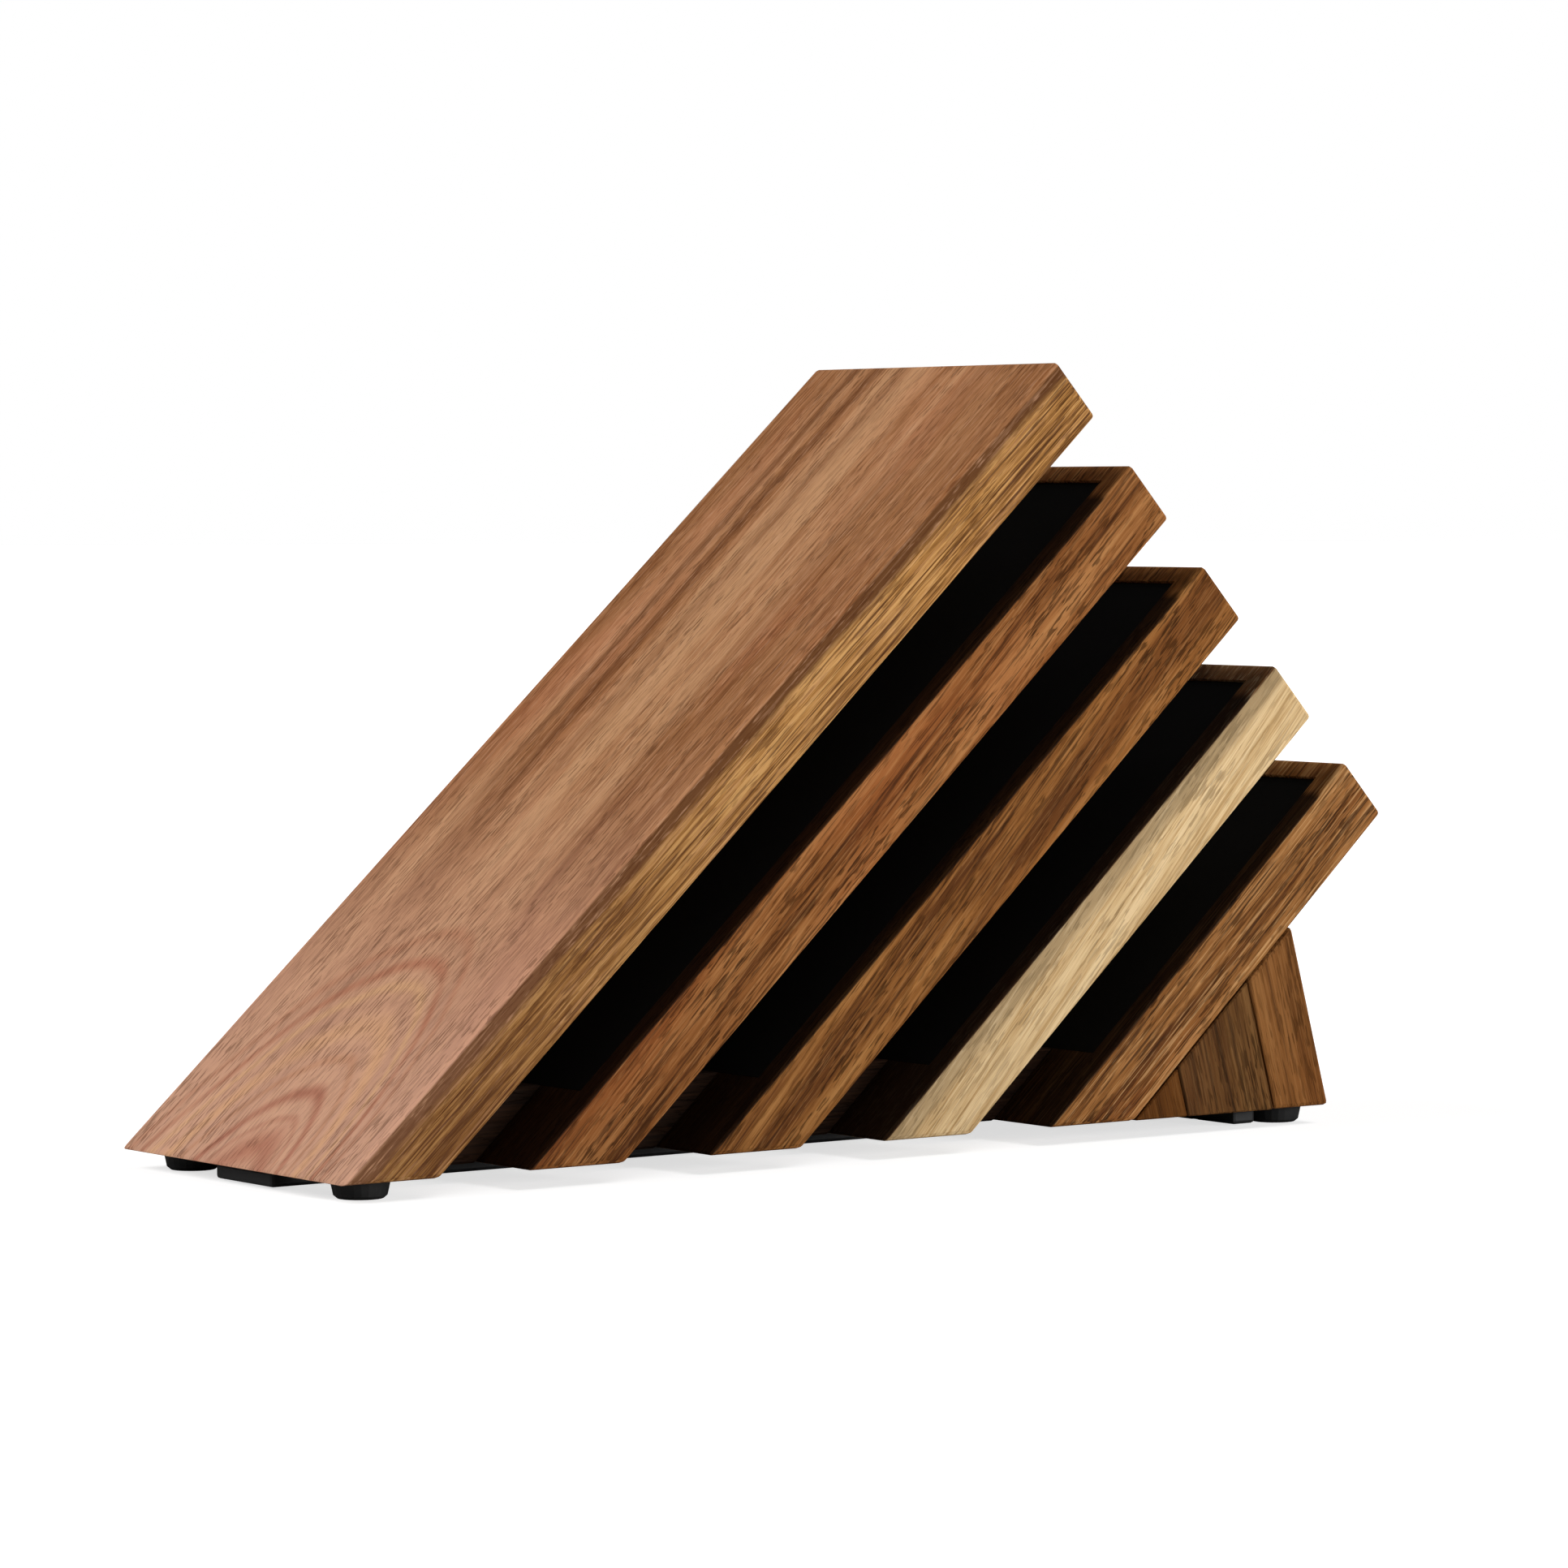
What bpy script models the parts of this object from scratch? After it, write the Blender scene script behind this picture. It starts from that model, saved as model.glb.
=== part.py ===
"""A leaning, stepped knife block: five hardwood boards with open slots between them.

The boards lean back at one angle and each is shorter than the one in front. Wooden spacers and
dowels join them at the bottom, a wedge of glued staves props the last one, and each slot has a
black magnetic pad let into the board behind it. Metres, +Z up. The block faces -Y, its width is
along X, and the origin is on the ground at the middle of its outline.
"""

import math

import bmesh
import bpy
from mathutils import Matrix

MM = 0.001

# Boards
BOARD_COUNT = 5
BOARD_WIDTH = 110 * MM
BOARD_THICK = 20.1 * MM
LEAN = math.radians(42.15)         # from the ground to the boards' faces
SLOT_GAP = 18.1 * MM               # square to the boards
FRONT_BOARD_LENGTH = 311 * MM
LENGTH_STEP = 41.7 * MM            # each board is this much shorter than the one in front
EDGE_ROUND = 1.2 * MM

# Magnetic pads and the pockets they sit in, on the front faces of boards 2 to 5
POCKET_DEPTH = 5.5 * MM
POCKET_SIDE_RIM = 7 * MM
POCKET_TOP_RIM = 6.5 * MM
POCKET_START = 28 * MM             # up the face, from the board's lower edge
PAD_SINK = 0.5 * MM                # pad's face below the wood's
PAD_THICK = 1.7 * MM
MAGNET_THICK = 2.7 * MM
MAGNET_WIDTH = 22 * MM
MAGNET_X = 24 * MM
MAGNET_MARGIN = 8 * MM

# Spacers and dowels
SPACER_WIDTH = 62 * MM
SPACER_HEIGHT = 19 * MM
DOWEL_RADIUS = 4 * MM
DOWEL_BITE = 9 * MM                # how far a dowel goes into each board
DOWEL_X = 18 * MM
DOWEL_Z = 10 * MM
PROP_DOWEL_Z = 22 * MM
PROP_DOWEL_BITE = 12 * MM

# Rear prop, a wedge of three staves that slope with its rear face
PROP_REAR = 328.5 * MM             # from the block's front edge to the prop's rear edge
PROP_SLOPE = 0.268                 # how far the rear face comes forward for each unit of height
REAR_STAVE = 20.2 * MM
MIDDLE_STAVE = 31.3 * MM

# Underside: feet, tie rail and tie bar
FOOT_HEIGHT = 5 * MM
FOOT_TOP_RADIUS = 7.8 * MM
FOOT_BASE_RADIUS = 6.8 * MM
FOOT_ROUND = 0.8 * MM
FOOT_X = 41.5 * MM
FRONT_FOOT = 14.5 * MM             # from the block's front edge
REAR_FOOT = 319.5 * MM
TIE_THICK = 4.1 * MM
TIE_ROUND = 0.9 * MM
RAIL_WIDTH = 28 * MM
RAIL_START = 5 * MM
RAIL_END = 205 * MM
BAR_WIDTH = 95 * MM
BAR_START = 299.5 * MM
BAR_DEPTH = 8 * MM
BAR_SCREW_X = 30 * MM
RAIL_SCREW = 17 * MM               # from each board's lower front edge
SCREW_RADIUS = 1.7 * MM
SCREW_HEAD_RADIUS = 3.2 * MM
SCREW_HEAD_THICK = 1.6 * MM
SCREW_POINT = 2 * MM
SCREW_BITE = 9 * MM                # screw's length inside the wood
SCREW_SEAT = 2.2 * MM              # underside of the foot or tie to the shoulder under the head

GAP = 0.3 * MM                     # kept between pieces that touch
CUT_PAST = 2 * MM                  # how far a cutter runs past what it cuts
SIDES = {"left": -1, "right": 1}
WELD = 0.00001

SIN, COS, TAN = math.sin(LEAN), math.cos(LEAN), math.tan(LEAN)
PITCH = (BOARD_THICK + SLOT_GAP) / SIN     # along the ground, board to board
GROUND_THICK = BOARD_THICK / SIN           # a board's thickness along the ground


def board_length(number):
    return FRONT_BOARD_LENGTH - (number - 1) * LENGTH_STEP


def board_start(number):
    """Distance from the block's front edge to the board's lower front edge."""
    return (number - 1) * PITCH


LAST_TOP = board_start(BOARD_COUNT) + board_length(BOARD_COUNT) * COS + BOARD_THICK * SIN
FRONT_Y = -LAST_TOP / 2                    # the block's front edge, in world coordinates
WOOD_Z = FOOT_HEIGHT                       # underside of the wood

MATERIALS = {
    "acacia_red": ((0.30, 0.13, 0.07), 0.5, 0.0),
    "acacia_brown": ((0.20, 0.09, 0.035), 0.5, 0.0),
    "acacia_pale": ((0.56, 0.38, 0.20), 0.5, 0.0),
    "dowel_beech": ((0.60, 0.42, 0.26), 0.6, 0.0),
    "pad_black": ((0.010, 0.010, 0.011), 0.75, 0.0),
    "magnet": ((0.05, 0.05, 0.055), 0.55, 0.3),
    "rubber": ((0.012, 0.012, 0.012), 0.8, 0.0),
    "plastic_black": ((0.014, 0.014, 0.015), 0.5, 0.0),
    "screw_steel": ((0.55, 0.55, 0.56), 0.3, 1.0),
}


def clear_scene():
    for item in list(bpy.data.objects):
        bpy.data.objects.remove(item, do_unlink=True)


def new_collection(name):
    collection = bpy.data.collections.new(name)
    bpy.context.scene.collection.children.link(collection)
    return collection


def material(name):
    if name in bpy.data.materials:
        return bpy.data.materials[name]
    colour, roughness, metallic = MATERIALS[name]
    made = bpy.data.materials.new(name)
    made.use_nodes = True
    shader = made.node_tree.nodes["Principled BSDF"]
    shader.inputs["Base Color"].default_value = (*colour, 1)
    shader.inputs["Roughness"].default_value = roughness
    shader.inputs["Metallic"].default_value = metallic
    return made


def place(item, collection, parent=None):
    for old in list(item.users_collection):
        old.objects.unlink(item)
    collection.objects.link(item)
    item.parent = parent
    return item


def empty(name, collection, location, rotation=(0, 0, 0), parent=None):
    made = bpy.data.objects.new(name, None)
    made.location = location
    made.rotation_euler = rotation
    return place(made, collection, parent)


def box(name, collection, size, centre, parent=None, surface=None):
    """A box of the given size, its scale applied, in its parent's axes."""
    bpy.ops.mesh.primitive_cube_add(size=1)
    item = bpy.context.active_object
    item.name = name
    item.data.transform(Matrix.Diagonal((*size, 1)))
    item.location = centre
    if surface:
        item.data.materials.append(material(surface))
    return place(item, collection, parent)


def cylinder(name, collection, radius, length, centre, parent, along_y=False):
    bpy.ops.mesh.primitive_cylinder_add(vertices=24, radius=radius, depth=length)
    item = bpy.context.active_object
    item.name = name
    item.location = centre
    if along_y:
        item.rotation_euler = (math.pi / 2, 0, 0)
    return place(item, collection, parent)


def plank(name, collection, outline, width, surface, parent):
    """A side outline of (y, z) points, drawn as a filled flat curve and extruded along X."""
    curve = bpy.data.curves.new(name + "_outline", "CURVE")
    curve.dimensions = "2D"
    curve.fill_mode = "BOTH"
    curve.extrude = width / 2
    spline = curve.splines.new("POLY")
    spline.points.add(len(outline) - 1)
    for point, (y, z) in zip(spline.points, outline):
        point.co = (y, z, 0, 1)
    spline.use_cyclic_u = True
    drawn = bpy.data.objects.new(name + "_outline", curve)
    bpy.context.scene.collection.objects.link(drawn)
    graph = bpy.context.evaluated_depsgraph_get()
    mesh = bpy.data.meshes.new_from_object(drawn.evaluated_get(graph))
    bpy.data.objects.remove(drawn, do_unlink=True)

    shape = bmesh.new()
    shape.from_mesh(mesh)
    bmesh.ops.remove_doubles(shape, verts=shape.verts, dist=WELD)
    bmesh.ops.dissolve_limit(shape, angle_limit=math.radians(1), verts=shape.verts, edges=shape.edges)
    # The curve is drawn in its own XY plane: turn it so that its X and Y become Y and Z.
    turn = Matrix(((0, 0, 1, 0), (1, 0, 0, 0), (0, 1, 0, 0), (0, 0, 0, 1)))
    bmesh.ops.transform(shape, matrix=turn, verts=shape.verts)
    bmesh.ops.recalc_face_normals(shape, faces=shape.faces)
    shape.to_mesh(mesh)
    shape.free()
    mesh.materials.clear()
    mesh.materials.append(material(surface))
    return place(bpy.data.objects.new(name, mesh), collection, parent)


def round_edges(item, width=EDGE_ROUND, segments=2):
    bevel = item.modifiers.new("round_edges", "BEVEL")
    bevel.width = width
    bevel.segments = segments
    bevel.limit_method = "ANGLE"
    bevel.angle_limit = math.radians(30)


def cut(item, cutter):
    cutter.hide_render = True
    cutter.display_type = "WIRE"
    modifier = item.modifiers.new("cut_" + cutter.name, "BOOLEAN")
    modifier.operation = "DIFFERENCE"
    modifier.solver = "EXACT"
    modifier.object = cutter


def turned_mesh(name, profile, closed, surface, steps=24):
    """A profile of (radius, z) points, turned about Z with a Screw modifier and made a mesh."""
    mesh = bpy.data.meshes.new(name)
    points = [(radius, 0, z) for radius, z in profile]
    edges = [(n, n + 1) for n in range(len(points) - 1)]
    if closed:
        edges.append((len(points) - 1, 0))
    mesh.from_pydata(points, edges, [])
    blank = bpy.data.objects.new(name, mesh)
    bpy.context.scene.collection.objects.link(blank)
    screw = blank.modifiers.new("turn", "SCREW")
    screw.steps = steps
    screw.render_steps = steps
    screw.use_merge_vertices = True
    screw.merge_threshold = WELD
    graph = bpy.context.evaluated_depsgraph_get()
    turned = bpy.data.meshes.new_from_object(blank.evaluated_get(graph))
    bpy.data.objects.remove(blank, do_unlink=True)
    turned.name = name
    turned.materials.clear()
    turned.materials.append(material(surface))
    turned.shade_smooth()
    turned.set_sharp_from_angle(angle=math.radians(35))
    return turned


def fit(name, collection, mesh, location, parent):
    """An object at the location, sharing the mesh with its copies."""
    item = place(bpy.data.objects.new(name, mesh), collection, parent)
    item.location = location
    return item


def make_boards(parts, cutters, block):
    """The five boards, each on an empty whose Z runs up its front face and Y into the board."""
    boards, faces = {}, {}
    for number in range(1, BOARD_COUNT + 1):
        face = empty(f"face_{number}", parts, (0, board_start(number), 0), (LEAN - math.pi / 2, 0, 0), block)
        length = board_length(number)
        outline = [(0, 0), (BOARD_THICK, BOARD_THICK / TAN), (BOARD_THICK, length), (0, length)]
        surface = {1: "acacia_red", 4: "acacia_pale"}.get(number, "acacia_brown")
        name = "front_board" if number == 1 else f"board_{number}"
        board = plank(name, parts, outline, BOARD_WIDTH, surface, face)
        round_edges(board)
        boards[number], faces[number] = board, face
        if number > 1:
            pocket_size = (BOARD_WIDTH - 2 * POCKET_SIDE_RIM, POCKET_DEPTH + CUT_PAST,
                           length - POCKET_TOP_RIM - POCKET_START)
            pocket_centre = (0, (POCKET_DEPTH - CUT_PAST) / 2, POCKET_START + pocket_size[2] / 2)
            cut(board, box(f"pocket_{number}", cutters, pocket_size, pocket_centre, face))
    return boards, faces


def make_pads(parts, faces):
    """In each pocket, two magnet strips under one black pad."""
    for number in range(2, BOARD_COUNT + 1):
        face = faces[number]
        pocket_length = board_length(number) - POCKET_TOP_RIM - POCKET_START
        middle = POCKET_START + pocket_length / 2
        pad_size = (BOARD_WIDTH - 2 * POCKET_SIDE_RIM - 2 * GAP, PAD_THICK, pocket_length - 2 * GAP)
        pad_centre = (0, PAD_SINK + PAD_THICK / 2, middle)
        pad = box(f"magnetic_pad_{number}", parts, pad_size, pad_centre, face, "pad_black")
        round_edges(pad, PAD_SINK / 2, 1)

        strip_size = (MAGNET_WIDTH, MAGNET_THICK, pocket_length - 2 * MAGNET_MARGIN)
        depth = PAD_SINK + PAD_THICK + GAP + MAGNET_THICK / 2
        for label, side in SIDES.items():
            centre = (side * MAGNET_X, depth, middle)
            box(f"magnet_{number}_{label}", parts, strip_size, centre, face, "magnet")


def make_spacers(parts, cutters, block, boards):
    """A wooden block and two level dowels in the foot of each slot."""
    for number in range(1, BOARD_COUNT):
        rear = board_start(number) + GROUND_THICK          # rear face of the board in front
        front = board_start(number + 1)                    # front face of the board behind
        slack = GAP / SIN
        outline = [(rear + slack, 0), (front - slack, 0),
                   (front - slack + SPACER_HEIGHT / TAN, SPACER_HEIGHT),
                   (rear + slack + SPACER_HEIGHT / TAN, SPACER_HEIGHT)]
        spacer = plank(f"spacer_{number}", parts, outline, SPACER_WIDTH, "acacia_brown", block)
        round_edges(spacer, EDGE_ROUND / 2, 1)

        start = rear + DOWEL_Z / TAN - DOWEL_BITE
        end = front + DOWEL_Z / TAN + DOWEL_BITE
        fit_dowels(f"slot_{number}_dowel", parts, cutters, block, (start, end), DOWEL_Z,
                   (boards[number], spacer, boards[number + 1]))


def fit_dowels(name, parts, cutters, block, ends, height, pieces):
    """Two dowels along Y between the ends, and a bore for each of them in each of the pieces."""
    start, end = ends
    for label, side in SIDES.items():
        centre = (side * DOWEL_X, (start + end) / 2, height)
        dowel = cylinder(f"{name}_{label}", parts, DOWEL_RADIUS, end - start, centre, block, along_y=True)
        dowel.data.materials.append(material("dowel_beech"))
        dowel.data.shade_smooth()
        dowel.data.set_sharp_from_angle(angle=math.radians(35))
        bore = cylinder(f"{name}_{label}_bore", cutters, DOWEL_RADIUS + GAP, end - start + 2 * GAP,
                        centre, block, along_y=True)
        for piece in pieces:
            cut(piece, bore)


def meet(base_a, slope_a, base_b, slope_b):
    """Where two sloping side lines y = base + slope * z meet, as (y, z)."""
    z = (base_b - base_a) / (slope_a - slope_b)
    return base_a + slope_a * z, z


def make_prop(parts, cutters, block, last_board):
    """The wedge behind the last board, of three staves cut to the board's rear face."""
    board_rear = board_start(BOARD_COUNT) + GROUND_THICK + GAP / SIN
    lean_slope = 1 / TAN
    joints = [PROP_REAR, PROP_REAR - REAR_STAVE, PROP_REAR - REAR_STAVE - MIDDLE_STAVE]
    staves = {}
    for name, rear, front in (("rear", joints[0], joints[1]), ("middle", joints[1], joints[2]),
                              ("front", joints[2], None)):
        rear_line = rear - (GAP if name != "rear" else 0)
        outline = [(rear_line, 0), meet(board_rear, lean_slope, rear_line, -PROP_SLOPE)]
        if front is None:
            outline.append((board_rear, 0))
        else:
            outline += [meet(board_rear, lean_slope, front, -PROP_SLOPE), (front, 0)]
        stave = plank(f"prop_{name}_stave", parts, outline, BOARD_WIDTH, "acacia_brown", block)
        round_edges(stave, EDGE_ROUND / (1 if name == "rear" else 3), 2 if name == "rear" else 1)
        staves[name] = stave
    board_face = board_rear + PROP_DOWEL_Z / TAN
    fit_dowels("prop_dowel", parts, cutters, block,
               (board_face - PROP_DOWEL_BITE, board_face + PROP_DOWEL_BITE), PROP_DOWEL_Z,
               (last_board, staves["middle"]))
    return staves


def screw_mesh():
    """A pan-head wood screw, point up. Its origin is at the middle of its head's upper side."""
    tip = SCREW_BITE + TIE_THICK - SCREW_SEAT
    profile = [(0, tip), (SCREW_RADIUS, tip - SCREW_POINT), (SCREW_RADIUS, 0), (SCREW_HEAD_RADIUS, 0),
               (SCREW_HEAD_RADIUS * 0.8, -SCREW_HEAD_THICK), (0, -SCREW_HEAD_THICK)]
    return turned_mesh("wood_screw", profile, False, "screw_steel", 16)


def bore_for_screw(name, cutters, block, spot, tie, woods):
    """A shank bore through the tie and into the wood, and a wider recess for the head in the tie."""
    under = -TIE_THICK - GAP
    for suffix, radius, top in (("shank", SCREW_RADIUS, SCREW_BITE + GAP),
                                ("recess", SCREW_HEAD_RADIUS, under + SCREW_SEAT)):
        length = top - under + CUT_PAST
        cutter = cylinder(f"{name}_{suffix}", cutters, radius + GAP, length, (*spot, top - length / 2), block)
        cut(tie, cutter)
        if suffix == "shank":
            for wood in woods:
                cut(wood, cutter)


def make_ties(parts, cutters, block, boards, staves):
    """The rail under boards 1 to 4 and the bar across the prop, with their screws."""
    middle = -GAP - TIE_THICK / 2
    rail = box("tie_rail", parts, (RAIL_WIDTH, RAIL_END - RAIL_START, TIE_THICK),
               (0, (RAIL_START + RAIL_END) / 2, middle), block, "plastic_black")
    round_edges(rail, TIE_ROUND)
    bar = box("tie_bar", parts, (BAR_WIDTH, BAR_DEPTH, TIE_THICK),
              (0, BAR_START + BAR_DEPTH / 2, middle), block, "plastic_black")
    round_edges(bar, TIE_ROUND)

    rail_screws = {f"rail_screw_{number}": (0, board_start(number) + RAIL_SCREW)
                   for number in range(1, BOARD_COUNT)}
    for number, (name, spot) in enumerate(rail_screws.items(), 1):
        bore_for_screw(name, cutters, block, spot, rail, [boards[number]])
    bar_screws = {f"bar_screw_{label}": (side * BAR_SCREW_X, BAR_START + BAR_DEPTH / 2)
                  for label, side in SIDES.items()}
    for name, spot in bar_screws.items():
        bore_for_screw(name, cutters, block, spot, bar, [staves["middle"], staves["rear"]])

    screw = screw_mesh()
    for name, (x, y) in {**rail_screws, **bar_screws}.items():
        fit(name, parts, screw, (x, y, SCREW_SEAT - TIE_THICK - 2 * GAP), block)


def make_feet(parts, cutters, block, front_board, rear_stave):
    """Four turned rubber feet, each with a screw up its middle."""
    low = -FOOT_HEIGHT
    seat = low + SCREW_SEAT
    bore = SCREW_RADIUS + GAP
    recess = SCREW_HEAD_RADIUS + GAP
    profile = [(bore, -GAP), (FOOT_TOP_RADIUS, -GAP), (FOOT_BASE_RADIUS + FOOT_ROUND / 5, low + FOOT_ROUND),
               (FOOT_BASE_RADIUS - FOOT_ROUND, low), (recess, low), (recess, seat), (bore, seat)]
    foot = turned_mesh("foot", profile, True, "rubber")
    screw = screw_mesh()
    for row, y, wood in (("front", FRONT_FOOT, front_board), ("rear", REAR_FOOT, rear_stave)):
        for side_name, side in SIDES.items():
            x = side * FOOT_X
            fit(f"foot_{row}_{side_name}", parts, foot, (x, y, 0), block)
            fit(f"foot_screw_{row}_{side_name}", parts, screw, (x, y, seat - GAP), block)
            bore_top = SCREW_BITE + GAP
            cut(wood, cylinder(f"foot_{row}_{side_name}_bore", cutters, bore, bore_top + CUT_PAST,
                               (x, y, (bore_top - CUT_PAST) / 2), block))


def main():
    clear_scene()
    parts = new_collection("knife_block")
    cutters = new_collection("cutters")
    block = empty("block", parts, (0, FRONT_Y, WOOD_Z))
    boards, faces = make_boards(parts, cutters, block)
    make_pads(parts, faces)
    make_spacers(parts, cutters, block, boards)
    staves = make_prop(parts, cutters, block, boards[BOARD_COUNT])
    make_ties(parts, cutters, block, boards, staves)
    make_feet(parts, cutters, block, boards[1], staves["rear"])


main()
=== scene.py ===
"""Looks for the stepped knife block: procedural acacia for every wooden piece, black pads, rubber
feet and strips, studio light, a pale floor and the camera."""

import math

import bpy
from mathutils import Matrix, Vector


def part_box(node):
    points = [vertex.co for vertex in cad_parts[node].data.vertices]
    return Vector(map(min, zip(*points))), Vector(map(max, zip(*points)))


# Camera
SENSOR = 36                                 # mm
FOCAL = 138.85                              # mm
NEAR, FAR = 0.05, 20
CAMERA_TURN = math.radians(-53.85)          # from +Y towards +X
CAMERA_DROP = math.radians(-2.79)
CAMERA_ROLL = math.radians(-0.19)
CAMERA_PLACE = Vector((1.3389, -0.9738, 0.1792))

# Stage
AMBIENT = 0.07                              # world light on the object
BACKDROP = 1.0                              # world brightness seen behind the object
FLOOR_SIZE = 60
FLOOR_GREY = 0.55
FLOOR_ROUGHNESS = 0.9
FLOOR_GLOW = 0.68                           # floor brightness the camera sees on top of its lit colour
SUNS = (("key", (-0.45, -0.85, 0.75), 2.7, 40),     # name, where it shines from, strength, softness
        ("side", (1.0, 0.42, 0.16), 3.0, 25),
        ("top", (0.25, 0.55, 0.85), 1.4, 30))

# Planks
LEAN = math.radians(42.15)                  # the boards' faces from the ground
STAVE_LEAN = math.radians(105)              # the prop's staves from the ground

# Wood figures. Each row is a stretched noise: what it adds to the plank's seed, its marks per metre
# across the grain where the look doesn't say, how far it is shrunk along the grain, and its detail and
# roughness.
FIGURES = {
    "ripple": (0, 45.0, 0.2, 3.0, 0.55),
    "broad": (0, None, 0.03, 2.0, 0.55),
    "fine": (5, None, 0.03, 3.0, 0.65),
    "patch": (9, 26.0, 0.25, 2.5, 0.55),
    "arch break": (20, 60.0, 0.6, 2.0, 0.55),
    "layer edge": (2, 60.0, 0.35, 4.0, 0.6),
    "layer fine": (6, 1500.0, 0.02, 3.0, 0.7),
    "layer broad": (12, 160.0, 0.03, 2.0, 0.55),
    "lines": (3, None, 0.022, 1.5, 0.6),
    "pores": (7, None, 0.10, 1.0, 0.55),
    "pore patch": (8, 90.0, 0.3, 2.0, 0.55),
    "fibres": (4, 1500.0, 0.09, 2.0, 0.6),
}

# Where a noise starts to show and where it shows fully
PATCH_RANGE = (0.46, 0.66)
BREAK_RANGE = (0.3, 0.6)
DARK_LINE_RANGE = (0.55, 0.63)
PALE_LINE_RANGE = (0.44, 0.34)
PORE_RANGE = (0.54, 0.62)
PORE_PATCH_RANGE = (0.38, 0.62)
FIBRE_RANGE = (0.45, 0.25)

TONES = (0.41, 0.475, 0.525, 0.60)          # where a ramp's four colours sit, dark to light
SWAY = 0.03                                 # how far the pith wanders from side to side
SWAY_RATE = 9.0
RING_DRIFT = 2.0                            # how fast rings change along the plank
FAINTEST_ARCH = 0.35
STREAK_WANDER = 0.008
STREAK_RATE = 12.0
STREAK_FADE = (0.10, 0.17)                  # distance along the plank
LAYER_FINE_SHARE = 0.6
FAINTEST_PORES = 0.4
LAYER_FIBRES = 0.3                          # share of the fibres that an inner layer keeps
SLOT_SHADE_SKIN = (-0.0004, -0.0001)              # depths the painted slot shade fades over
SLOT_SHADE_FADE = 0.004
SLOT_SHADE_SHARE = 0.88
ROUGHNESS = (0.68, 0.9)
ROUGHNESS_RANGE = (0.3, 1.5)
WOOD_SPECULAR = 0.05
FIBRE_HEIGHT = 0.6
BUMP_STRENGTH = 0.5
BUMP_HEIGHT = 0.0003

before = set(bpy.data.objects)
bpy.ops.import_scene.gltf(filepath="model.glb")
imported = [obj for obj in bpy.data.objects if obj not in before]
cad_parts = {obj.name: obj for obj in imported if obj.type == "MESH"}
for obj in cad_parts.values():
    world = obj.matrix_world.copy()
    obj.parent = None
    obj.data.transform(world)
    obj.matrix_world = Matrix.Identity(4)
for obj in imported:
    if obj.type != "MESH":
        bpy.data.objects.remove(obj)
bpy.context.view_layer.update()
WOOD_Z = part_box("front_board")[0].z


def srgb(*values):
    """0 to 255 display values as a linear RGBA colour."""
    scaled = [v / 255 for v in values]
    return (*[c / 12.92 if c <= 0.04045 else ((c + 0.055) / 1.055) ** 2.4 for c in scaled], 1)


def shades(*colours):
    return [srgb(*c) for c in colours]


SLOT_PAINTED_SHADE = srgb(22, 11, 5)                # painted shade: a near-black colour for the boards' front faces down inside the slots, where deep shade falls


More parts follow.
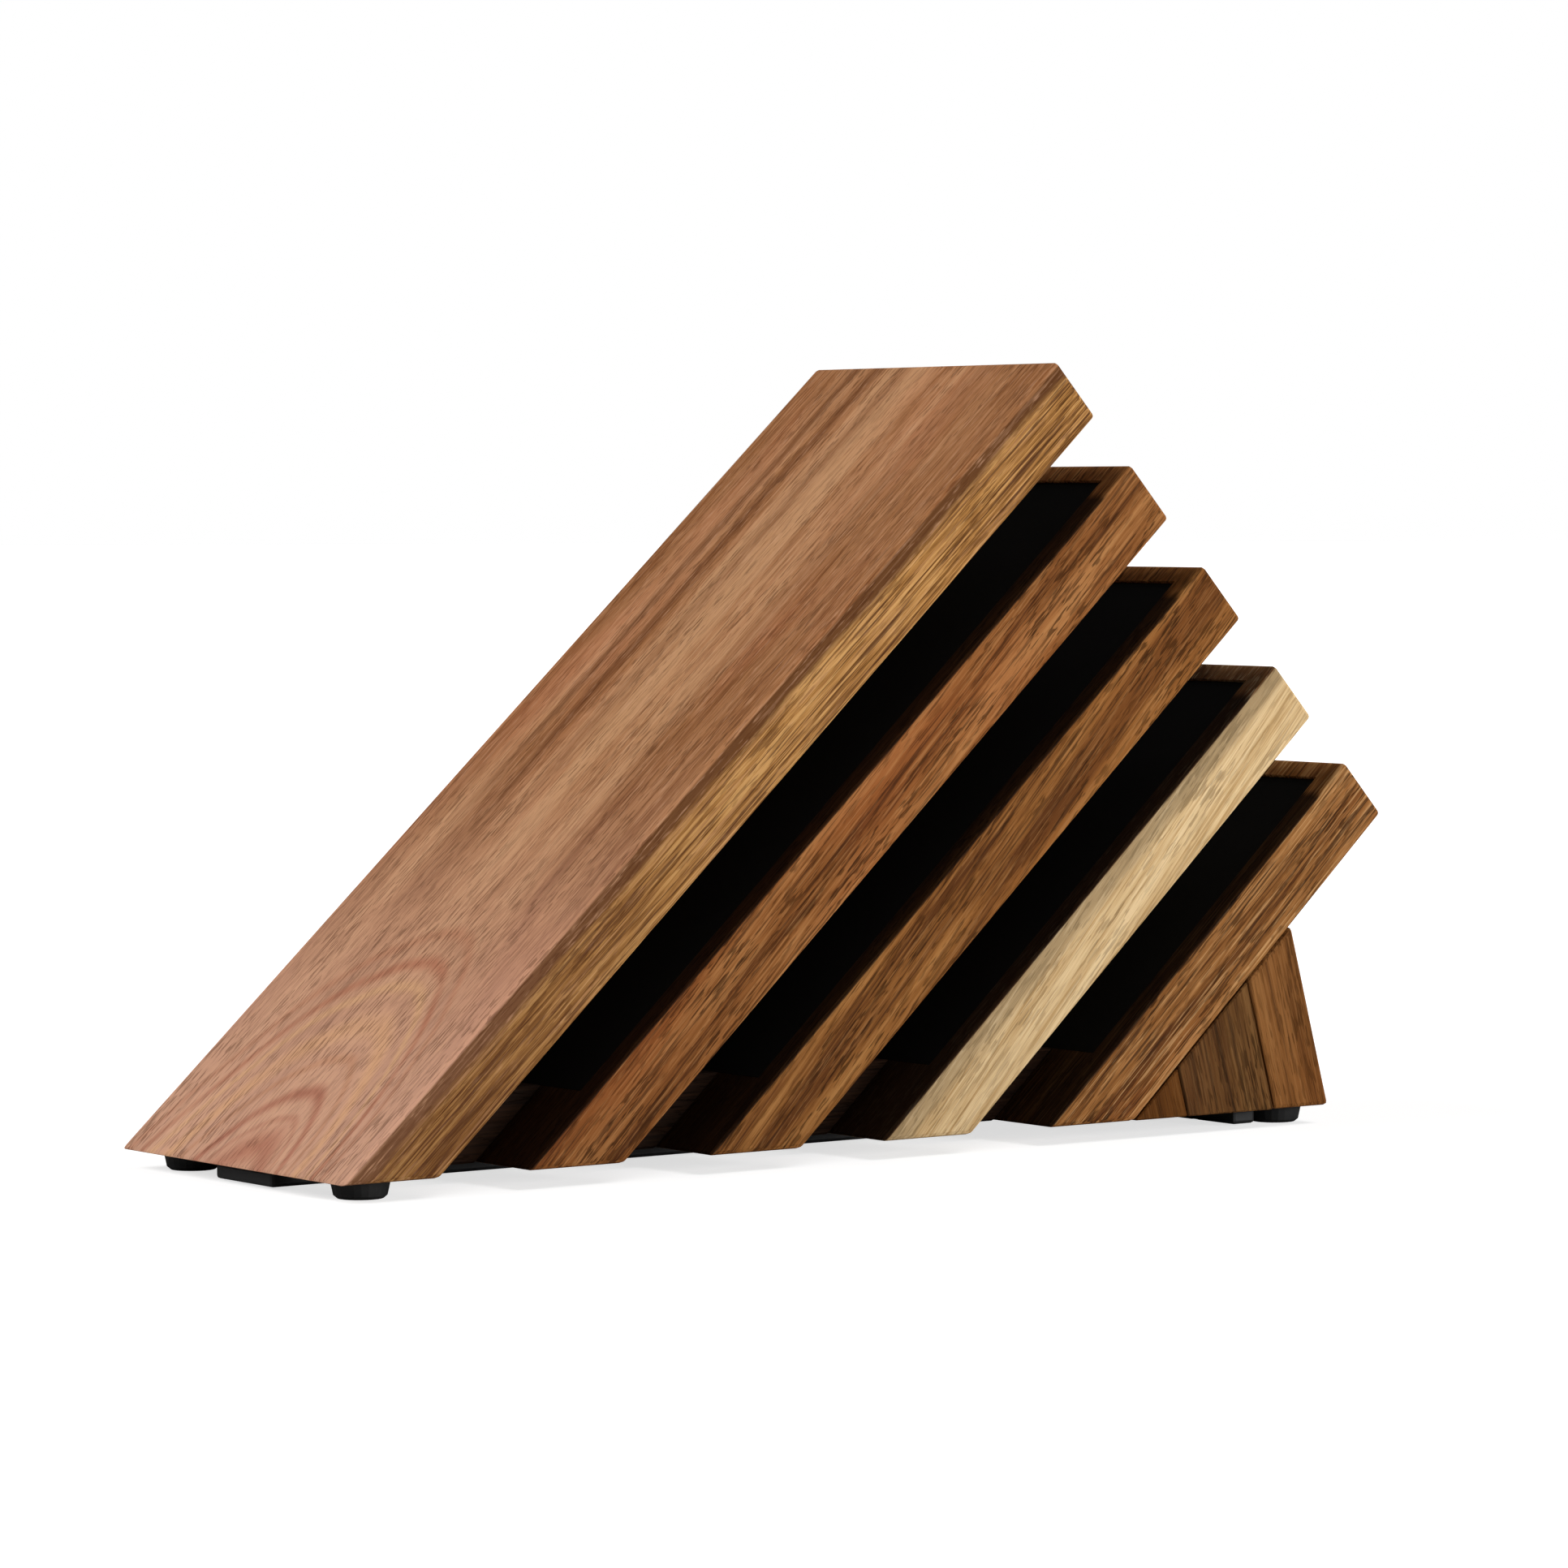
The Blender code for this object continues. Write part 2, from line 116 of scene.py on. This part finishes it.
class Nodes:
    """Short calls that add nodes to one material's tree and link them."""

    def __init__(self, name):
        self.material = bpy.data.materials.new(name)
        self.material.use_nodes = True
        self.tree = self.material.node_tree
        self.shader = self.tree.nodes["Principled BSDF"]

    def put(self, socket, value):
        if isinstance(value, bpy.types.NodeSocket):
            self.tree.links.new(value, socket)
        elif value is not None:
            socket.default_value = value

    def math(self, operation, a, b=None, c=None):
        node = self.tree.nodes.new("ShaderNodeMath")
        node.operation = operation
        for socket, value in zip(node.inputs, (a, b, c)):
            self.put(socket, value)
        return node.outputs[0]

    def length(self, vector):
        node = self.tree.nodes.new("ShaderNodeVectorMath")
        node.operation = "LENGTH"
        self.put(node.inputs[0], vector)
        return node.outputs["Value"]

    def coordinates(self):
        return self.tree.nodes.new("ShaderNodeTexCoord").outputs["Object"]

    def mapping(self, vector, location=(0, 0, 0), rotation=(0, 0, 0), scale=(1, 1, 1)):
        node = self.tree.nodes.new("ShaderNodeMapping")
        self.put(node.inputs["Vector"], vector)
        node.inputs["Location"].default_value = location
        node.inputs["Rotation"].default_value = rotation
        node.inputs["Scale"].default_value = scale
        return node.outputs[0]

    def split(self, vector):
        node = self.tree.nodes.new("ShaderNodeSeparateXYZ")
        self.put(node.inputs[0], vector)
        return node.outputs

    def join(self, x, y, z):
        node = self.tree.nodes.new("ShaderNodeCombineXYZ")
        for socket, value in zip(node.inputs, (x, y, z)):
            self.put(socket, value)
        return node.outputs[0]

    def noise(self, vector, scale, detail, roughness=0.55):
        node = self.tree.nodes.new("ShaderNodeTexNoise")
        self.put(node.inputs["Vector"], vector)
        node.inputs["Scale"].default_value = scale
        node.inputs["Detail"].default_value = detail
        node.inputs["Roughness"].default_value = roughness
        return node.outputs["Fac"]

    def ramp(self, value, stops):
        """stops are (position, colour or grey level)."""
        node = self.tree.nodes.new("ShaderNodeValToRGB")
        self.put(node.inputs[0], value)
        elements = node.color_ramp.elements
        while len(elements) < len(stops):
            elements.new(1)
        for element, (position, colour) in zip(elements, stops):
            element.position = position
            element.color = colour if isinstance(colour, tuple) else (colour, colour, colour, 1)
        return node.outputs[0]

    def mix(self, amount, a, b):
        node = self.tree.nodes.new("ShaderNodeMix")
        node.data_type = "RGBA"
        self.put(node.inputs["Factor"], amount)
        self.put(node.inputs["A"], a)
        self.put(node.inputs["B"], b)
        return node.outputs["Result"]

    def bump(self, height, strength, distance):
        node = self.tree.nodes.new("ShaderNodeBump")
        node.inputs["Strength"].default_value = strength
        node.inputs["Distance"].default_value = distance
        self.put(node.inputs["Height"], height)
        self.put(self.shader.inputs["Normal"], node.outputs[0])

    def map(self, value, from_low, from_high, to_low, to_high, smooth=True):
        """The value's range onto another range, flat beyond both ends."""
        node = self.tree.nodes.new("ShaderNodeMapRange")
        node.interpolation_type = "SMOOTHSTEP" if smooth else "LINEAR"
        self.put(node.inputs["Value"], value)
        for socket, limit in zip(node.inputs[1:5], (from_low, from_high, to_low, to_high)):
            socket.default_value = limit
        return node.outputs["Result"]


def turned(n, vector, lean, origin=(0, 0, 0)):
    """The vector in axes turned by lean about X: x across, y along the grain, z out of the face."""
    turn = Matrix.Rotation(-lean, 3, "X")
    return n.mapping(vector, location=-(turn @ Vector(origin)), rotation=(-lean, 0, 0))


class Plank:
    """What the wood functions share: the nodes, the look, the seed, places in the plank's own axes
    (x across, y along, z out of the face) and the same turned to the grain."""

    def __init__(self, name, origin, lean, look, seed, grain_turn):
        self.n = Nodes(name)
        self.look = look
        self.seed = seed
        self.place = turned(self.n, self.n.coordinates(), lean, origin)
        self.grain = turned(self.n, self.place, grain_turn)
        self.across, self.along, self.depth = self.n.split(self.place)
        self.inside = None                  # how far into the inner layer, where the look has one

    def marks(self, figure, per_metre=None, on_grain=True, step=0):
        """One of the FIGURES, with marks that are long along the grain."""
        own_step, usual, shrink, detail, roughness = FIGURES[figure]
        seed = self.seed + own_step + step
        spot = self.n.mapping(self.grain if on_grain else self.place,
                              location=(seed, seed * 0.3, seed * 0.7), scale=(1, shrink, 1))
        return self.n.noise(spot, per_metre or usual, detail, roughness)

    def line(self, away, width, share):
        """A soft line: share in its middle, nothing at width from it."""
        return self.n.map(away, 0.0, width, share, 0)


def ring_radius(plank):
    """Distance from the tree's pith. The pith sinks below the face along the plank and then runs level,
    so the rings make arches on the face at one end and long lines at the other."""
    n, look, seed = plank.n, plank.look, plank.seed
    pith_x, near_depth, far_depth, start, end = look["pith"]
    pith_depth = n.map(plank.along, start, end, near_depth, far_depth, smooth=False)
    sway = n.noise(n.join(seed, n.math("MULTIPLY", plank.along, SWAY_RATE), seed), 1.0, 1.0)
    x = n.math("ADD", n.math("SUBTRACT", plank.across, pith_x), n.math("MULTIPLY_ADD", sway, SWAY, -SWAY / 2))
    x = n.math("MULTIPLY_ADD", n.math("MAXIMUM", x, 0.0), look["lopsided"], x)
    z = n.math("ADD", plank.depth, pith_depth)
    radius = n.length(n.join(x, 0.0, z))
    ripple = plank.marks("ripple", on_grain=False)
    return n.math("ADD", radius, n.math("MULTIPLY_ADD", ripple, look["ripple"], -look["ripple"] / 2))


def ground_colour(plank, radius):
    """Rings, broad bands and fine streaks, with warm patches and, where the look has one, a foot colour that
    is painted light and shade: paler and pinker towards the front board's foot, darker towards the feet of
    boards 2 and 3.
    """
    n, look = plank.n, plank.look
    ring_place = n.join(n.math("MULTIPLY", radius, look["rings"]),
                        n.math("MULTIPLY", plank.along, RING_DRIFT), plank.seed)
    rings = n.noise(ring_place, 1.0, 2.5, 0.6)
    tone = n.math("MULTIPLY", rings, look["ring_share"])
    tone = n.math("MULTIPLY_ADD", plank.marks("broad", look["broad"]), look["broad_share"], tone)
    fine_share = 1 - look["ring_share"] - look["broad_share"]
    tone = n.math("MULTIPLY_ADD", plank.marks("fine", look["fine"]), fine_share, tone)
    colour = n.ramp(tone, list(zip(TONES, look["colours"])))
    warmth = n.map(plank.marks("patch"), *PATCH_RANGE, 0, look["warm_share"])
    colour = n.mix(warmth, colour, look["warm"])
    if "foot" in look:
        # painted light and shade: the foot colour stands in for how the light falls near the floor
        painted_foot_shading = n.map(plank.along, 0.0, look["foot_length"], look["foot_share"], 0)
        colour = n.mix(painted_foot_shading, colour, look["foot"])
    return colour


def add_arches(plank, radius, colour):
    """Inked growth rings near the foot, broken here and there."""
    n = plank.n
    arches = plank.look["arches"]
    near = n.map(plank.along, *arches["fades"], 1, 0)
    for ring, (at, width, ink, share) in enumerate(arches["rings"]):
        away = n.math("ABSOLUTE", n.math("SUBTRACT", radius, at))
        gaps = plank.marks("arch break", on_grain=False, step=ring)
        broken = n.map(gaps, *BREAK_RANGE, FAINTEST_ARCH, share)
        arch = n.math("MULTIPLY", plank.line(away, width, 1), n.math("MULTIPLY", broken, near))
        colour = n.mix(arch, colour, ink)
    return colour


def add_streaks(plank, colour):
    """Long dark streaks at chosen places across the upper part of the plank."""
    n = plank.n
    for at, width, share in plank.look["streaks"]:
        wander = n.noise(n.join(at * 100, n.math("MULTIPLY", plank.along, STREAK_RATE), plank.seed), 1.0, 2.0)
        across = n.math("MULTIPLY_ADD", wander, STREAK_WANDER, plank.across)
        away = n.math("ABSOLUTE", n.math("SUBTRACT", across, at + STREAK_WANDER / 2))
        streak = n.math("MULTIPLY", plank.line(away, width, share), n.map(plank.along, *STREAK_FADE, 0, 1))
        colour = n.mix(streak, colour, plank.look["streak"])
    return colour


def add_layer(plank, colour):
    """Wood of another colour below the face, past a dark band, with an uneven edge. The inner wood is
    darkened towards the plank's lower end: painted shade.
    """
    n = plank.n
    layer = plank.look["layer"]
    wobble = layer["wobble"]
    edge = plank.marks("layer edge", on_grain=False)
    below = n.math("MULTIPLY_ADD", edge, wobble, n.math("SUBTRACT", wobble * -0.5, plank.depth))
    broad = n.math("MULTIPLY", plank.marks("layer broad"), 1 - LAYER_FINE_SHARE)
    tone = n.math("MULTIPLY_ADD", plank.marks("layer fine"), LAYER_FINE_SHARE, broad)
    inner = n.ramp(tone, list(zip(TONES, layer["colours"])))
    # painted shade: the inner wood darker towards the plank's lower end
    inner = n.mix(n.map(plank.along, *layer["painted_shade_along"], layer["painted_shade"], 0), inner, plank.look["dark"])
    band = n.map(plank.depth, *layer["band_starts"], 0, layer["band_share"])
    colour = n.mix(band, colour, layer["band"])
    plank.inside = n.map(below, *layer["starts"], 0, 1)
    return n.mix(plank.inside, colour, inner)


def add_lines(plank, colour):
    """Fine dark and pale lines."""
    n, look = plank.n, plank.look
    lines = plank.marks("lines", look["line_scale"])
    inked = look["dark_lines"]
    if plank.inside:
        inked = n.map(plank.inside, 0, 1, inked, look["layer"]["dark_lines"], smooth=False)
    colour = n.mix(n.math("MULTIPLY", n.map(lines, *DARK_LINE_RANGE, 0, 1), inked), colour, look["dark"])
    return n.mix(n.map(lines, *PALE_LINE_RANGE, 0, look["pale_lines"]), colour, look["pale"])


def add_pores_and_fibres(plank, colour):
    """Short dark pores, thicker in patches, and pale raised fibres. Gives the colour and both masks."""
    n, look = plank.n, plank.look
    patch = n.map(plank.marks("pore patch"), *PORE_PATCH_RANGE, FAINTEST_PORES, 1)
    pores = n.math("MULTIPLY", n.map(plank.marks("pores", look["pore_scale"]), *PORE_RANGE, 0, 1), patch)
    colour = n.mix(n.math("MULTIPLY", pores, look["pores"]), colour, look["dark"])
    fibre = plank.marks("fibres")
    raised = n.map(fibre, *FIBRE_RANGE, 0, look["fibres"])
    if plank.inside:
        raised = n.math("MULTIPLY", raised, n.map(plank.inside, 0, 1, 1, LAYER_FIBRES, smooth=False))
    return n.mix(raised, colour, look["pale"]), pores, fibre


def add_slot_painted_shade(plank, colour):
    """Painted shade: a near-black colour on the front face, up to the look's distance along the plank,
    standing in for the deep shade inside the slots.
    """
    n, top = plank.n, plank.look["slot"]
    skin = n.map(plank.depth, *SLOT_SHADE_SKIN, 0, 1)
    in_slot_shade = n.math("MULTIPLY", skin, n.map(plank.along, top - SLOT_SHADE_FADE, top, 1, 0))
    return n.mix(n.math("MULTIPLY", in_slot_shade, SLOT_SHADE_SHARE), colour, SLOT_PAINTED_SHADE)


def wood(name, origin, lean, look, seed, grain_turn=0.0):
    """Oiled acacia. Every figure is a solid texture in the plank's own axes, so its faces, edges and ends
    agree. look holds the colours and how strong each figure is."""
    plank = Plank(name, origin, lean, look, seed, grain_turn)
    n = plank.n
    radius = ring_radius(plank)
    colour = ground_colour(plank, radius)
    if "arches" in look:
        colour = add_arches(plank, radius, colour)
    if "streaks" in look:
        colour = add_streaks(plank, colour)
    if "layer" in look:
        colour = add_layer(plank, colour)
    colour = add_lines(plank, colour)
    colour, pores, fibre = add_pores_and_fibres(plank, colour)
    # painted shade: the front faces inside the slots are darkened nearly to black
    if "slot" in look:
        colour = add_slot_painted_shade(plank, colour)
    n.put(n.shader.inputs["Base Color"], colour)
    grip = n.map(n.math("ADD", fibre, pores), *ROUGHNESS_RANGE, *ROUGHNESS)
    n.put(n.shader.inputs["Roughness"], grip)
    n.shader.inputs["Specular IOR Level"].default_value = WOOD_SPECULAR
    height = n.math("SUBTRACT", n.math("MULTIPLY", fibre, FIBRE_HEIGHT), pores)
    n.bump(height, BUMP_STRENGTH, BUMP_HEIGHT)
    return n.material


def look(colours, warm, dark, pale, **changes):
    """A wood's colours, dark to light, and how its figures differ from a plain brown plank's. pith is
    where the pith lies across, its depth near and far, and where along it starts and stops sinking."""
    made = {
        "pith": (0.01, 0.06, 0.06, 0, 0.3), "lopsided": 0.0, "ripple": 0.010, "rings": 150.0,
        "broad": 150.0, "fine": 950.0, "ring_share": 0.35, "broad_share": 0.35, "warm_share": 0.45,
        "line_scale": 1500.0, "dark_lines": 0.6, "pale_lines": 0.3,
        "pores": 0.7, "pore_scale": 1500.0, "fibres": 0.2,
        "colours": shades(*colours), "warm": srgb(*warm), "dark": srgb(*dark), "pale": srgb(*pale)}
    made.update(changes)
    return made


FRONT_LOOK = look(
    [(126, 78, 44), (150, 102, 65), (163, 114, 77), (182, 136, 97)],
    (174, 110, 77), (74, 42, 24), (198, 152, 118),
    pith=(0.004, 0.0108, 0.064, 0, 0.098), lopsided=0.5, ripple=0.005, rings=170.0, broad=70.0,
    fine=1500.0, ring_share=0.28, broad_share=0.38, warm_share=0.4, dark_lines=0.20, pale_lines=0.16,
    pores=0.48, pore_scale=1700.0, fibres=0.38,
    # foot: painted light, the front face paler and pinker towards its lower end
    foot=srgb(212, 166, 142), foot_length=0.17, foot_share=0.66,
    # ring radius, half width, ink, share
    arches={"fades": (0.085, 0.115),
            "rings": ((0.0265, 0.0026, srgb(150, 84, 66), 0.7),
                      (0.0215, 0.0014, srgb(160, 96, 76), 0.4),
                      (0.0160, 0.0065, srgb(158, 94, 74), 0.7),
                      (0.0330, 0.0018, srgb(168, 110, 76), 0.4),
                      (0.0395, 0.0040, srgb(206, 156, 112), 0.55),
                      (0.0520, 0.0024, srgb(156, 92, 68), 0.65),
                      (0.0475, 0.0020, srgb(210, 164, 118), 0.5),
                      (0.0580, 0.0022, srgb(164, 104, 76), 0.4))},
    # place across, half width, share
    streak=srgb(108, 65, 36),
    streaks=((-0.034, 0.0035, 0.75), (-0.025, 0.004, 0.8), (-0.012, 0.006, 0.4), (0.025, 0.006, 0.3)),
    layer={"wobble": 0.005, "starts": (0.0036, 0.0062), "band": srgb(86, 52, 24),
           "band_starts": (-0.0004, -0.0012), "band_share": 0.9,
           # painted shade towards the lower end of the inner wood
           "painted_shade": 0.5, "painted_shade_along": (0.0, 0.26), "dark_lines": 0.75,
           "colours": shades((86, 54, 22), (138, 94, 47), (166, 119, 65), (192, 146, 89))})
# slot, in the looks below: painted shade, the front face darkened nearly to black inside the slot up to that
# distance along the board
BOARD_2_LOOK = look(
    [(80, 44, 17), (116, 70, 32), (132, 83, 42), (160, 110, 64)],
    (142, 78, 38), (48, 26, 10), (172, 124, 76),
    # foot: painted shade, darker towards the lower end
    foot=srgb(78, 44, 18), foot_length=0.14, foot_share=0.3, slot=0.258)
BOARD_3_LOOK = look(
    [(82, 46, 17), (116, 72, 32), (134, 87, 42), (160, 112, 62)],
    (132, 80, 36), (44, 25, 9), (160, 114, 68),
    # foot: painted shade, darker towards the lower end
    foot=srgb(74, 42, 16), foot_length=0.10, foot_share=0.3, slot=0.217)
BOARD_4_LOOK = look(
    [(66, 40, 20), (96, 62, 34), (108, 72, 42), (128, 92, 58)],
    (108, 68, 38), (92, 74, 50), (222, 200, 162),
    warm_share=0.3, dark_lines=0.3, pale_lines=0.2, pores=0.4, fibres=0.15, slot=0.175,
    layer={"wobble": 0.003, "starts": (0.0030, 0.0070), "band": srgb(158, 134, 98),
           "band_starts": (-0.0001, -0.0005), "band_share": 0.93,
           # painted shade towards the lower end of the inner wood
           "painted_shade": 0.2, "painted_shade_along": (0.0, 0.15), "dark_lines": 0.14,
           "colours": shades((172, 138, 92), (190, 158, 112), (201, 171, 126), (216, 188, 144))})
BOARD_5_LOOK = look(
    [(84, 48, 20), (120, 76, 36), (142, 96, 52), (178, 132, 84)],
    (138, 78, 36), (46, 26, 12), (192, 150, 100),
    dark_lines=0.75, pale_lines=0.5, slot=0.133)
# painted shade: the spacers' wood is darkened nearly to black-brown to stand in for the deep shade at the
# slot bottoms
SPACER_SHADE_LOOK = look(
    [(20, 11, 5), (28, 15, 7), (32, 18, 8), (42, 24, 12)],
    (30, 15, 7), (12, 6, 3), (48, 30, 16), dark_lines=0.5)
FRONT_STAVE_LOOK = look(
    [(64, 34, 8), (76, 43, 11), (86, 50, 16), (100, 62, 26)],
    (88, 50, 14), (42, 24, 10), (112, 74, 36), dark_lines=0.4, pores=0.5)
MIDDLE_STAVE_LOOK = look(
    [(56, 33, 13), (80, 50, 22), (94, 62, 30), (112, 78, 42)],
    (88, 54, 26), (34, 20, 8), (116, 84, 50), dark_lines=0.5, line_scale=900.0)
REAR_STAVE_LOOK = look(
    [(92, 55, 22), (112, 70, 32), (124, 80, 40), (142, 98, 54)],
    (128, 74, 32), (54, 32, 14), (142, 98, 56), dark_lines=0.45, pores=0.5)
DOWEL_LOOK = look(
    [(190, 156, 116), (204, 170, 130), (214, 182, 142), (226, 196, 158)],
    (208, 170, 124), (120, 92, 64), (232, 210, 176), dark_lines=0.2, pores=0.2)

# node, look, seed, degrees the grain turns from the board's length
BOARDS = (("front_board", FRONT_LOOK, 1.3, 0), ("board_2", BOARD_2_LOOK, 4.2, 3),
          ("board_3", BOARD_3_LOOK, 6.3, 5), ("board_4", BOARD_4_LOOK, 8.4, 6),
          ("board_5", BOARD_5_LOOK, 10.5, 1))
# node, look, seed
STAVES = (("prop_front_stave", FRONT_STAVE_LOOK, 23), ("prop_middle_stave", MIDDLE_STAVE_LOOK, 26),
          ("prop_rear_stave", REAR_STAVE_LOOK, 29))
SPACER_SEED = 31
DOWEL_SEED = 37

BLACK_MOTTLE = (0.3, 0.7)                   # where a black's darkest and palest grey sit
BLACK_SPREAD = 0.3                          # how far they are from its level
BLACK_BUMP = (0.2, 0.0001)                  # strength and height
METAL_MOTTLE = 900.0


def plain_black(name, level, roughness, gloss, grain):
    n = Nodes(name)
    mottle = n.noise(n.coordinates(), grain, 3.0)
    greys = (level * (1 - BLACK_SPREAD), level * (1 + BLACK_SPREAD))
    n.put(n.shader.inputs["Base Color"], n.ramp(mottle, list(zip(BLACK_MOTTLE, greys))))
    n.shader.inputs["Roughness"].default_value = roughness
    n.shader.inputs["Specular IOR Level"].default_value = gloss
    n.bump(mottle, *BLACK_BUMP)
    return n.material


def metal(name, colour, roughness):
    n = Nodes(name)
    mottle = n.noise(n.coordinates(), METAL_MOTTLE, 2.0)
    n.put(n.shader.inputs["Base Color"], n.mix(mottle, colour, srgb(150, 150, 150)))
    n.shader.inputs["Metallic"].default_value = 1.0
    n.shader.inputs["Roughness"].default_value = roughness
    return n.material


def dress(node, material):
    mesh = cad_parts[node].data
    mesh.materials.clear()
    mesh.materials.append(material)


def board_start(node):
    low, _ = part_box(node)
    return (0, low.y, WOOD_Z)


def paint_planks():
    for node, board_look, seed, turn in BOARDS:
        dress(node, wood("acacia_" + node, board_start(node), LEAN, board_look, seed, math.radians(turn)))
    for node, stave_look, seed in STAVES:
        dress(node, wood("acacia_" + node, board_start(node), STAVE_LEAN, stave_look, seed))


def paint_small_pieces():
    spacer_wood = wood("acacia_spacer_painted_shade", board_start("spacer_1"), 0.0, SPACER_SHADE_LOOK, SPACER_SEED)
    dowel_wood = wood("dowel_beech", (0, 0, 0), 0.0, DOWEL_LOOK, DOWEL_SEED)
    pad = plain_black("pad_black", 0.0022, 0.9, 0.1, 1400.0)
    rubber = plain_black("foot_rubber", 0.004, 0.7, 0.3, 500.0)
    strip = plain_black("strip_plastic", 0.004, 0.6, 0.3, 700.0)
    magnet = metal("magnet_dark", srgb(40, 40, 42), 0.6)
    steel = metal("screw_zinc", srgb(190, 190, 188), 0.35)
    # How a node's name starts; where two rows fit a name, the later one holds
    rows = (("spacer", spacer_wood), ("slot", dowel_wood), ("prop_dowel", dowel_wood),
            ("magnetic_pad", pad), ("magnet_", magnet), ("tie", strip), ("foot_", rubber),
            ("foot_screw", steel), ("rail_screw", steel), ("bar_screw", steel))
    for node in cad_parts:
        for start, material in rows:
            if node.startswith(start):
                dress(node, material)


def set_camera():
    data = bpy.data.cameras.new("camera")
    data.sensor_width = SENSOR
    data.lens = FOCAL
    data.clip_start, data.clip_end = NEAR, FAR
    camera = bpy.data.objects.new("camera", data)
    bpy.context.scene.collection.objects.link(camera)
    level = math.cos(CAMERA_DROP)
    forward = Vector((level * math.sin(CAMERA_TURN), level * math.cos(CAMERA_TURN), math.sin(CAMERA_DROP)))
    right = forward.cross(Vector((0, 0, 1))).normalized()
    up = right.cross(forward)
    right, up = (right * math.cos(CAMERA_ROLL) + up * math.sin(CAMERA_ROLL),
                 up * math.cos(CAMERA_ROLL) - right * math.sin(CAMERA_ROLL))
    turn = Matrix((right, up, -forward)).transposed()
    camera.matrix_world = Matrix.Translation(CAMERA_PLACE) @ turn.to_4x4()
    bpy.context.scene.camera = camera


def add_sun(name, towards, strength, softness):
    """A sun that shines from the direction given."""
    data = bpy.data.lights.new(name, "SUN")
    data.energy = strength
    data.angle = math.radians(softness)
    light = bpy.data.objects.new(name, data)
    bpy.context.scene.collection.objects.link(light)
    light.rotation_euler = Vector(towards).to_track_quat("Z", "Y").to_euler()


def set_floor():
    """A pale floor. Its glow is for the camera only, so that it doesn't light the slots."""
    bpy.ops.mesh.primitive_plane_add(size=FLOOR_SIZE)
    floor = bpy.context.active_object
    floor.name = "floor"
    n = Nodes("floor_white")
    n.shader.inputs["Base Color"].default_value = (FLOOR_GREY, FLOOR_GREY, FLOOR_GREY, 1)
    n.shader.inputs["Roughness"].default_value = FLOOR_ROUGHNESS
    n.shader.inputs["Emission Color"].default_value = (1, 1, 1, 1)
    seen = n.tree.nodes.new("ShaderNodeLightPath").outputs["Is Camera Ray"]
    n.put(n.shader.inputs["Emission Strength"], n.math("MULTIPLY", seen, FLOOR_GLOW))
    floor.data.materials.append(n.material)


def set_world():
    """A white world, bright behind the object and dim on it."""
    world = bpy.data.worlds.new("studio")
    world.use_nodes = True
    tree = world.node_tree
    shown = tree.nodes.new("ShaderNodeMix")
    rays = tree.nodes.new("ShaderNodeLightPath")
    tree.links.new(rays.outputs["Is Camera Ray"], shown.inputs["Factor"])
    shown.inputs["A"].default_value = AMBIENT
    shown.inputs["B"].default_value = BACKDROP
    background = tree.nodes["Background"]
    background.inputs["Color"].default_value = (1, 1, 1, 1)
    tree.links.new(shown.outputs["Result"], background.inputs["Strength"])
    bpy.context.scene.world = world


set_camera()
paint_planks()
paint_small_pieces()
set_floor()
set_world()
bpy.context.scene.view_settings.view_transform = "Standard"
for sun in SUNS:
    add_sun(*sun)
